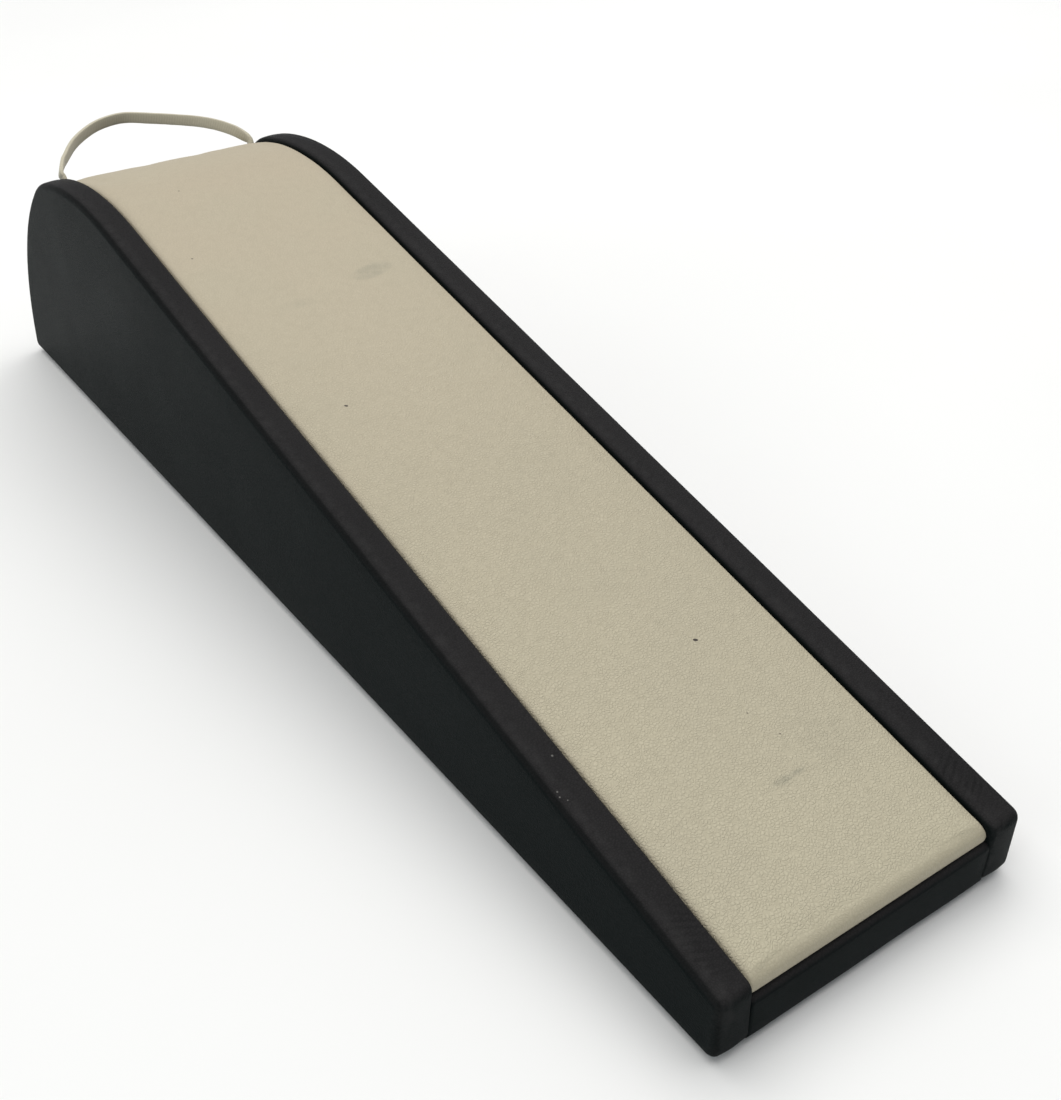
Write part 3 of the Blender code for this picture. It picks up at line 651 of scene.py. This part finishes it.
def make_elastic():
    point, heading = place(EXIT_RUN)
    rise = Vector((0.0, *outward(heading)))
    axis = Vector((0.0, point.x, point.y + LIFT)) + rise * AXIS_RISE
    exits = [axis + Vector((side * BAND_X, 0.0, 0.0)) for side in (-1, 1)]
    route = [exits[0], *[Vector(place_at) * MM for place_at in LOOP_BETWEEN], exits[1]]
    low = route[0].y
    high = max(point.y for point in route)
    foot = AXIS_RISE + INSERT_TOP + TAIL_LENGTH
    steps = [foot, foot * 0.8, foot * 0.6, foot * 0.4, foot * 0.2, 1.6 * MM]
    tail_in = [route[0] - rise * step for step in steps]
    tail_out = [route[-1] - rise * step for step in reversed(steps)]
    line = smooth_route(tail_in + route + tail_out, 9)
    section = band_section()
    points, faces, weave = [], [], []
    travelled = 0.0
    for i, point in enumerate(line):
        ahead = line[min(i + 1, len(line) - 1)] - line[max(i - 1, 0)]
        along = ahead.normalized()
        travelled += (point - line[i - 1]).length if i else 0.0
        share = min(1.0, max(0.0, (high - point.y) / (high - low)))
        twist = share ** (LEFT_TWIST if point.x < 0 else RIGHT_TWIST)
        free_lean = APEX_LEAN + RIGHT_LEAN * max(0.0, point.x / BAND_X)
        lean = free_lean + (math.pi / 2 + heading - free_lean) * twist
        across = Vector((0.0, -math.sin(lean), math.cos(lean)))
        across = (across - along * across.dot(along)).normalized()
        through = along.cross(across)
        wavy = 1 + 0.035 * noise.noise(Vector((travelled * 420, 3.0, 0.0)))
        for k, (wide, thick) in enumerate(section):
            lift = across * (wide * BAND_WIDTH / 2 * wavy) + through * (thick * BAND_THICK / 2)
            points.append(point + lift)
            weave.append((travelled, k / len(section)))
    count = len(section)
    for i in range(len(line) - 1):
        for k in range(count):
            a, b = i * count + k, i * count + (k + 1) % count
            faces.append((a, b, b + count, a + count))
    faces.append(tuple(range(count)))
    faces.append(tuple(reversed(range(len(points) - count, len(points)))))
    band = new_piece("elastic_band", points, faces, "cream_elastic")
    lay_braid(band.data, weave)
    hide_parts("elastic_loop", "left_elastic_tail", "right_elastic_tail")
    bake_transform(band)


make_elastic()


# Black cheeks


def spread_out(length, fine_length, fine_step, coarse_step):
    """Distances along a straight run: close together over its first stretch, then growing wider."""
    marks = [0.0]
    step = fine_step
    while marks[-1] + step < length - step * 0.5:
        marks.append(marks[-1] + step)
        if marks[-1] > fine_length:
            step = min(coarse_step, step * 1.12)
    return [mark / length for mark in marks[1:]]


SLOPE_MARKS = spread_out(SLOPE_REACH / math.cos(SLOPE), 17 * MM, 0.24 * MM, 2.4 * MM)
CHEEK_CROWN = 0.11 * MM
# The last rings are inside the covering, out of sight
TUCKED_LEVELS = 4
CREASE_DEPTH = 0.20 * MM
# Where the painted shade line lies, in from the outer face, and how wide it is
DARK_LINE = 0.50 * MM
DARK_LINE_WIDTH = 0.30 * MM


def cheek_outline(inset):
    """Paired points of the side view, top and bottom, pulled in by inset."""
    low = max(BASE_ROUND - inset, LEAST_ROUND)
    toe_low = Vector((TOE_Y + inset + low, inset + low))
    high = max(TOE_ROUND - inset, LEAST_ROUND)
    high_y = TOE_Y + inset + high
    slope_level = TOE_CORNER.dot(outward(SLOPE)) - inset - high
    toe_high = Vector((high_y, (slope_level + math.sin(SLOPE) * high_y) / math.cos(SLOPE)))
    reach = BACK_R - inset - low
    drop = inset + low - BACK_CENTRE.y
    heel = Vector((BACK_CENTRE.x + math.sqrt(reach * reach - drop * drop), inset + low))
    heel_heading = math.atan2(BACK_CENTRE.x - heel.x, drop)
    half_turn = (heel_heading - math.pi) / 2
    top = arc_points(toe_high, high, math.pi / 2, SLOPE, 8)
    slope_end = SLOPE_END - outward(SLOPE) * inset
    start = top[-1]
    top += [start.lerp(slope_end, share) for share in SLOPE_MARKS]
    top += arc_points(CREST_CENTRE, CREST_R - inset, SLOPE, -CREST_DIP, 14)
    top += arc_points(SHOULDER_CENTRE, SHOULDER_R - inset, -CREST_DIP, -SHOULDER_DIP, 10)[1:]
    top += arc_points(BACK_CENTRE, BACK_R - inset, -SHOULDER_DIP, heel_heading, 26)[1:]
    flat = top[9:]
    top += arc_points(heel, low, heel_heading, half_turn, 4)[1:]
    bottom = arc_points(toe_low, low, math.pi / 2, math.pi, 8)
    bottom += [Vector((min(max(point.x, toe_low.x), heel.x), inset)) for point in flat]
    bottom += list(reversed(arc_points(heel, low, half_turn, -math.pi, 4)))[1:]
    return top, bottom


def cheek_levels():
    """Distance in from the outer face, and inset from the outline, for each ring of the covering."""
    levels = []
    for i in range(7):
        turn = math.radians(15.0 * i)
        levels.append((OUTER_EDGE_R * (1 - math.cos(turn)), OUTER_EDGE_R * (1 - math.sin(turn))))
    flat_start, flat_end = OUTER_EDGE_R, CHEEK - INNER_EDGE_R
    for i in range(1, 15):
        share = i / 15
        crown = CHEEK_CROWN * math.sin(math.pi * share)
        levels.append((flat_start + (flat_end - flat_start) * share, -crown))
    for i in range(7):
        turn = math.radians(15.0 * i)
        levels.append((CHEEK - INNER_EDGE_R * (1 - math.sin(turn)), INNER_EDGE_R * (1 - math.cos(turn))))
    levels += [(CHEEK, 2.2 * MM), (CHEEK, LAP - 0.15 * MM), (CHEEK - 0.12 * MM, LAP)]
    levels += [(CHEEK - SKIN, LAP), (CHEEK - SKIN, SKIN), (SKIN, SKIN)]
    return levels


def toe_creases(side, across, along):
    """How deep the fine creases are, from 0 to 1, where the covering is pulled round the toe."""
    reach = smoothstep(along, 1.5 * MM, 5.0 * MM) * (1 - smoothstep(along, 9.0 * MM, 16.0 * MM))
    band = smoothstep(across, 0.9 * MM, 2.2 * MM) * (1 - smoothstep(across, 4.9 * MM, 5.5 * MM))
    if reach * band == 0:
        return 0.0
    seed = Vector((along * 210, across * 260, 7.0 * side))
    drift = noise.noise(seed) * 0.55 * MM
    skew = 0.45 if side < 0 else 0.62
    phase = (along + across * skew + drift) / (1.15 * MM)
    crease = 1 - abs(math.sin(math.pi * phase))
    strength = 0.55 + 0.75 * noise.noise(seed * 1.9 + Vector((4.0, 9.0, 2.0)))
    return min(1.0, reach * band * max(0.0, strength) * crease**2)


def seam_shift(side, across, back, height):
    """How far a point of the front moves forward, so that the cheek meets the toe's strip in a seam."""
    front = 1 - smoothstep(back, 0.7 * MM, 1.6 * MM)
    level = smoothstep(height, 0.6 * MM, 1.6 * MM) * (1 - smoothstep(height, 6.4 * MM, 7.6 * MM))
    beside = smoothstep(across, CHEEK - INNER_EDGE_R - 0.2 * MM, CHEEK - 0.5 * INNER_EDGE_R)
    return (0.85 if side < 0 else 0.95) * back * front * level * beside


def make_cheek(side, name):
    levels = cheek_levels()
    shown = len(levels) - TUCKED_LEVELS
    slab = Slab(len(cheek_outline(0.0)[0]), 6)
    creased = {}
    for level, (across, inset) in enumerate(levels):
        lines = []
        dips = []
        for outline in cheek_outline(inset):
            line = []
            for k, point in enumerate(outline):
                back = point.x - TOE_Y
                spot_here = Vector((side * (WIDTH / 2 - across), point.x, point.y + LIFT))
                if level < shown:
                    spot_here.y -= seam_shift(side, across, back, point.y)
                if level < shown and not lines:
                    along = outline[min(k + 1, len(outline) - 1)] - outline[max(k - 1, 0)]
                    lift = Vector((0.0, -along.y, along.x)).normalized()
                    seed = Vector((spot_here.x * 90, spot_here.y * 60, spot_here.z * 60 + 11 * side))
                    uneven = noise.noise(seed) * 0.05 * MM
                    dips.append(toe_creases(side, across, back))
                    spot_here += lift * (uneven - CREASE_DEPTH * dips[-1])
                line.append(spot_here)
            lines.append(line)
        numbers = slab.ring(*lines)
        creased.update(zip(numbers, dips))
    slab.side(slab.rings[0])
    slab.side(slab.rings[-1])
    cheek = new_piece(name, slab.points, slab.faces, "black_leatherette")
    shade_amount = np.zeros(len(slab.points), np.float32)
    wear_and_highlight = np.zeros(len(slab.points), np.float32)
    # Painted shade: a dark line near the outer edge, fainter over the crest, and in the toe's creases
    for (across, _), numbers in zip(levels[:shown], slab.rings):
        dark = math.exp(-(((across - DARK_LINE) / DARK_LINE_WIDTH) ** 2))
        # The painted highlight's band lies on the left-hand side of each top, where the left fill light
        # falls
        shoulder = 1.7 * MM if side < 0 else CHEEK - 1.4 * MM
        mark_weight = math.exp(-(((across - shoulder) / (0.9 * MM)) ** 2))
        for number in numbers:
            corner = math.exp(-(((slab.points[number].y - TOE_Y) / (2.2 * MM)) ** 2))
            at_crest = smoothstep(slab.points[number].y, 68.0 * MM, 92.0 * MM)
            shade_amount[number] = max(dark * (1 - 0.65 * at_crest), 0.7 * creased.get(number, 0.0))
            wear_and_highlight[number] = min(1.0, 0.8 * mark_weight + 0.5 * corner)
    for key, values in (("painted_shade", shade_amount), ("wear_and_highlight", wear_and_highlight)):
        layer = cheek.data.attributes.new(key, "FLOAT", "POINT")
        layer.data.foreach_set("value", values)
    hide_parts(name)
    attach(cheek, "ramp")
    cheek.name = name + "_leatherette"


make_cheek(-1, "left_cheek_cover")
make_cheek(1, "right_cheek_cover")


# Cream insert


PAD_HALF = 21.33 * MM
PAD_CORNER = 0.6 * MM
PAD_ROLL = 0.55 * MM
PAD_ROLL_DEPTH = 0.7 * MM
PAD_LOW = 0.25 * MM
PAD_ROLL_STEPS = 7
NOSE_ROLL = 2.2 * MM
NOSE_ROLL_DEPTH = 1.75 * MM
NOTCH_X = 19.9 * MM
SIM_SCALE = 100.0


def pad_half(run):
    """Half the insert's width: a little fuller at the toe, and cut back at the elastic."""
    flare = 0.06 * MM * (1 - smoothstep(run, 0.5 * MM, 5.0 * MM))
    notch = smoothstep(run, EXIT_RUN - 2.5 * MM, EXIT_RUN - 1.4 * MM)
    return PAD_HALF + flare - (PAD_HALF + 0.1 * MM - NOTCH_X) * notch


def even_marks(start, end, step):
    count = max(2, round((end - start) / step))
    return [start + (end - start) * i / count for i in range(1, count)]


def rounded_plan(start, end, half_at, corner, marks):
    """Points (along, across) down one long side of a rectangle, round both of its corners."""
    turns = [math.radians(18.0 * i) for i in range(6)]
    line = []
    for turn in turns:
        across = half_at(start) - corner * (1 - math.sin(turn))
        line.append(Vector((start + corner * (1 - math.cos(turn)), across)))
    for along in marks:
        if start + corner < along < end - corner:
            line.append(Vector((along, half_at(along))))
    for turn in reversed(turns):
        across = half_at(end) - corner * (1 - math.sin(turn))
        line.append(Vector((end - corner * (1 - math.cos(turn)), across)))
    return line


def outward_normals(line):
    """The direction out of the rectangle at each of its points."""
    normals = []
    last = len(line) - 1
    for i in range(len(line)):
        along = line[min(i + 1, last)] - line[max(i - 1, 0)]
        if i == 0:
            along = Vector((0.0, 1.0))
        if i == last:
            along = Vector((0.0, -1.0))
        normals.append(Vector((-along.y, along.x)).normalized())
    return normals


def pulled_in(line, inset):
    return [point - normal * inset for point, normal in zip(line, outward_normals(line))]


def nose_drop(run):
    """How far the insert's top has rolled down toward its nose."""
    share = min(1.0, max(0.0, (run - TOE_SETBACK) / NOSE_ROLL))
    return NOSE_ROLL_DEPTH * (1 - math.sqrt(1 - (1 - share) ** 2))


def pad_ring(plan, inset, risen):
    """Both sides of one ring.

    Risen is 0 on the underside, 1 where the side starts to roll over, and 2 on the top.
    """
    near, far = [], []
    for point in pulled_in(plan, inset):
        top = INSERT_TOP + nose_drop(point.x)
        edge = top + (PAD_LOW + PAD_ROLL_DEPTH) * (1 - nose_drop(point.x) / NOSE_ROLL_DEPTH)
        if risen < 1:
            depth = INSERT_UNDER + (edge - INSERT_UNDER) * risen
        else:
            depth = edge + (top - edge) * (risen - 1)
        near.append(on_strip(point.x, -point.y, depth))
        far.append(on_strip(point.x, point.y, depth))
    return near, far


def cloth_swell(obj, pinned, pressure, cap):
    """Swells a closed mesh under pressure, with some points held, and applies the result."""
    rest = np.array([v.co for v in obj.data.vertices])
    normals = np.array([v.normal for v in obj.data.vertices])
    obj.data.transform(Matrix.Scale(SIM_SCALE, 4))
    group = obj.vertex_groups.new(name="held")
    group.add(pinned, 1.0, "REPLACE")
    cloth = obj.modifiers.new("swell", "CLOTH")
    cloth.settings.quality = 6
    cloth.settings.mass = 0.25
    cloth.settings.tension_stiffness = 40
    cloth.settings.compression_stiffness = 40
    cloth.settings.shear_stiffness = 20
    cloth.settings.bending_stiffness = 4.0
    cloth.settings.use_pressure = True
    cloth.settings.uniform_pressure_force = pressure
    cloth.settings.vertex_group_mass = "held"
    cloth.settings.effector_weights.gravity = 0.0
    cloth.collision_settings.use_collision = False
    scene = bpy.context.scene
    cloth.point_cache.frame_start = 1
    cloth.point_cache.frame_end = 20
    for step in range(1, 21):
        scene.frame_set(step)
    graph = bpy.context.evaluated_depsgraph_get()
    swollen = obj.evaluated_get(graph).to_mesh()
    found = np.array([v.co for v in swollen.vertices]) / SIM_SCALE
    obj.evaluated_get(graph).to_mesh_clear()
    obj.modifiers.remove(cloth)
    obj.vertex_groups.clear()
    scene.frame_set(1)
    outward_by = np.maximum(0.0, ((found - rest) * normals).sum(axis=1, keepdims=True))
    capped = rest + normals * outward_by / (1 + (outward_by / cap) ** 3) ** (1 / 3)
    obj.data.vertices.foreach_set("co", capped.astype(np.float32).ravel())
    obj.data.update()


def apply_modifiers(obj):
    graph = bpy.context.evaluated_depsgraph_get()
    mesh = bpy.data.meshes.new_from_object(obj.evaluated_get(graph))
    obj.modifiers.clear()
    obj.data = mesh


def delete_faces(mesh, numbers):
    """Deletes the faces whose points are all among these numbers."""
    data = bmesh.new()
    data.from_mesh(mesh)
    data.verts.ensure_lookup_table()
    doomed = [face for face in data.faces if all(vert.index in numbers for vert in face.verts)]
    bmesh.ops.delete(data, geom=doomed, context="FACES")
    data.to_mesh(mesh)
    data.free()


def make_pad():
    fine_until = TOE_SETBACK + NOSE_ROLL
    marks = even_marks(TOE_SETBACK + PAD_CORNER, fine_until, 0.2 * MM)
    marks += [fine_until, *even_marks(fine_until, SEAM_RUN - PAD_CORNER, 1.6 * MM)]
    plan = rounded_plan(TOE_SETBACK, SEAM_RUN, pad_half, PAD_CORNER, marks)
    slab = Slab(len(plan), 30)
    # Each ring's inset, and its share of the way up from the underside to the rolled edge
    walls = [(0.50 * MM, 0.0), (0.20 * MM, 0.03), (0.05 * MM, 0.12), (0.0, 0.35)]
    for inset, share in walls:
        slab.ring(*pad_ring(plan, inset, share))
    for i in range(PAD_ROLL_STEPS + 1):
        turn = math.pi / 2 * i / PAD_ROLL_STEPS
        fall = PAD_LOW * (1 - i / PAD_ROLL_STEPS) + PAD_ROLL_DEPTH * (1 - math.sin(turn))
        risen = 2 - fall / (PAD_LOW + PAD_ROLL_DEPTH)
        slab.ring(*pad_ring(plan, PAD_ROLL * (1 - math.cos(turn)), risen))
    slab.side(slab.rings[-1])
    underside = slab.side(slab.rings[0])
    pad = new_piece("cream_insert_pad", slab.points, slab.faces, "cream_leatherette")
    held = [number for ring in slab.rings[:len(walls)] for number in ring] + underside
    cloth_swell(pad, held, 0.8, 0.30 * MM)
    delete_faces(pad.data, set(underside) | set(slab.rings[0]))
    fine = pad.modifiers.new("fine", "SUBSURF")
    fine.levels = fine.render_levels = 1
    shell = pad.modifiers.new("shell", "SOLIDIFY")
    shell.thickness = INSERT_SKIN - 0.05 * MM
    shell.offset = -1.0
    apply_modifiers(pad)
    for vert in pad.data.vertices:
        wave = noise.noise(vert.co * 75) * 0.05 + noise.noise(vert.co * 210 + Vector((3, 1, 8))) * 0.02
        vert.co.z += wave * MM
    pad.data.shade_smooth()
    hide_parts("insert_cover")
    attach(pad, "ramp")


make_pad()


# Black strips: the back, and the toe's strip with its ledge


def make_back_cover():
    """Glued down the back, with its top edge close against the insert."""
    start = SEAM_RUN + 0.03 * MM
    end = SHOULDER_RUN + (-SHOULDER_DIP + math.acos(-BACK_CENTRE.y / (BACK_R - INSERT_TOP))) * BACK_R
    marks = even_marks(start, end, 1.2 * MM)
    plan = rounded_plan(start, end, lambda run: WIDTH / 2 - CHEEK - 0.05 * MM, 0.5 * MM, marks)
    slab = Slab(len(plan), 30)
    edge = 0.22 * MM
    levels = [(0.0, INSERT_TOP + COVER_SKIN)]
    for i in range(4):
        turn = math.radians(30.0 * i)
        levels.append((edge * (1 - math.cos(turn)), INSERT_TOP + edge * (1 - math.sin(turn))))
    for inset, depth in levels:
        line = pulled_in(plan, inset)
        slab.ring([on_strip(p.x, -p.y, depth) for p in line], [on_strip(p.x, p.y, depth) for p in line])
    slab.side(slab.rings[0])
    slab.side(slab.rings[-1])
    cover = new_piece("back_cover_leatherette", slab.points, slab.faces, "black_leatherette")
    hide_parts("back_cover")
    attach(cover, "ramp")


make_back_cover()


def make_toe_cover():
    front = TOE_Y + TOE_COVER_SETBACK
    back = TOE_Y + TOE_COVER_REACH
    low = Vector((front + TOE_EDGE_R, TOE_EDGE_R))
    high_y = front + TOE_EDGE_R
    rise = (high_y - TOE_Y) * math.tan(SLOPE) - (DECK_TOP + TOE_EDGE_R) / math.cos(SLOPE)
    high = Vector((high_y, TOE_HEIGHT + rise))
    along = Vector((math.cos(SLOPE), math.sin(SLOPE)))
    line = []
    for i in range(6):
        line.append((Vector((back + (low.x - back) * i / 6, 0.0)), math.pi))
    for i in range(9):
        heading = math.pi - math.pi / 2 * i / 8
        line.append((low + outward(heading) * TOE_EDGE_R, heading))
    for i in range(1, 8):
        line.append((Vector((front, low.y + (high.y - low.y) * i / 8)), math.pi / 2))
    for i in range(9):
        heading = math.pi / 2 + (SLOPE - math.pi / 2) * i / 8
        line.append((high + outward(heading) * TOE_EDGE_R, heading))
    top = line[-1][0]
    for i in range(1, 9):
        line.append((top + along * ((back - high_y) * i / 8), SLOPE))
    count = 70
    half = WIDTH / 2 - CHEEK + 0.03 * MM
    points, faces = [], []
    for j in range(count + 1):
        x = -half + 2 * half * j / count
        for i, (point, heading) in enumerate(line):
            bulge = 0.12 * MM * math.sin(math.pi * min(1.0, max(0.0, point.y / (high.y + TOE_EDGE_R))))
            uneven = 0.06 * MM * noise.noise(Vector((x * 95, point.x * 120, point.y * 120)))
            fade = smoothstep(half - abs(x), 0.0, 2.0 * MM)
            raised = uneven + (bulge if SLOPE < heading < 3 else 0.0)
            shown = point + outward(heading) * raised * fade
            points.append(Vector((x, shown.x, shown.y + LIFT)))
        for point, heading in line:
            inner = point - outward(heading) * COVER_SKIN
            points.append(Vector((x, inner.x, inner.y + LIFT)))
    n = len(line)
    ring = 2 * n
    order = list(range(n)) + list(reversed(range(n, ring)))
    for j in range(count):
        for i in range(ring):
            a, b = order[i], order[(i + 1) % ring]
            faces.append((j * ring + a, j * ring + b, (j + 1) * ring + b, (j + 1) * ring + a))
    for j in (0, count):
        for i in range(n - 1):
            faces.append((j * ring + i, j * ring + i + 1, j * ring + n + i + 1, j * ring + n + i))
    cover = new_piece("toe_cover_leatherette", points, faces, "black_leatherette")
    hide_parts("toe_cover")
    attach(cover, "ramp")


make_toe_cover()


def make_felt():
    near_edge = TOE_Y + FELT_INSET
    far_edge = -TOE_Y - FELT_INSET
    half = WIDTH / 2 - FELT_INSET
    marks = even_marks(near_edge, far_edge, 2.5 * MM)
    plan = rounded_plan(near_edge, far_edge, lambda y: half, 1.2 * MM, marks)
    slab = Slab(len(plan), 18)
    for inset, z in ((0.12 * MM, 0.0), (0.0, 0.15 * MM), (0.0, 0.5 * MM), (0.12 * MM, FELT_THICK)):
        line = pulled_in(plan, inset)
        slab.ring([Vector((-p.y, p.x, z)) for p in line], [Vector((p.y, p.x, z)) for p in line])
    slab.side(slab.rings[0])
    slab.side(slab.rings[-1])
    felt = new_piece("base_felt_sheet", slab.points, slab.faces, "felt")
    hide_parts("base_felt")
    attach(felt, "ramp")


make_felt()


# The CAD pieces that stay


def dress_nodes():
    slots = {part["node"]: part["material_slot"] for part in frame["record"]["subparts"]}
    for name, obj in frame["nodes"].items():
        for i in range(len(obj.data.materials)):
            obj.data.materials[i] = LOOKS[slots[name]]


dress_nodes()


# Floor and light


def make_floor():
    bpy.ops.mesh.primitive_plane_add(size=6.0, location=(0.0, 0.0, 0.0))
    floor = bpy.context.object
    floor.name = "floor"
    made, tree, shader = new_material("floor_look")
    mottle = noise_at(tree, object_coords(tree), 6.0, 3.0)
    colour = mix_colour(tree, remap(tree, mottle, 0.3, 0.7), (0.88, 0.88, 0.875), (0.90, 0.90, 0.895))
    tree.links.new(colour, shader.inputs["Base Color"])
    shader.inputs["Roughness"].default_value = 0.7
    shader.inputs["Specular IOR Level"].default_value = 0.2
    floor.data.materials.append(made)


def soft_light(name, place_at, aim, size, power, colour):
    light = bpy.data.lights.new(name, "AREA")
    light.shape = "RECTANGLE"
    light.size, light.size_y = size
    light.energy = power
    light.color = colour
    made = bpy.data.objects.new(name, light)
    made.location = place_at
    made.rotation_euler = (Vector(aim) - Vector(place_at)).to_track_quat("-Z", "Y").to_euler()
    bpy.context.scene.collection.objects.link(made)


def make_light():
    soft_light("overhead", (0.05, 0.15, 0.85), (0.0, 0.0, 0.0), (1.3, 1.3), 9.5, (1.0, 0.985, 0.96))
    soft_light("left_fill", (-1.0, -0.1, 0.45), (0.0, 0.0, 0.02), (0.7, 0.7), 1.8, (0.93, 1.0, 0.99))
    soft_light("right_fill", (0.95, 0.55, 0.40), (0.0, 0.0, 0.02), (0.7, 0.7), 1.5, (1.0, 1.0, 1.0))
    world = bpy.data.worlds.new("studio")
    world.use_nodes = True
    background = world.node_tree.nodes["Background"]
    background.inputs["Color"].default_value = (0.94, 0.97, 1.0, 1.0)
    background.inputs["Strength"].default_value = 0.35
    bpy.context.scene.world = world
    bpy.context.scene.view_settings.view_transform = "Standard"


make_floor()
make_light()
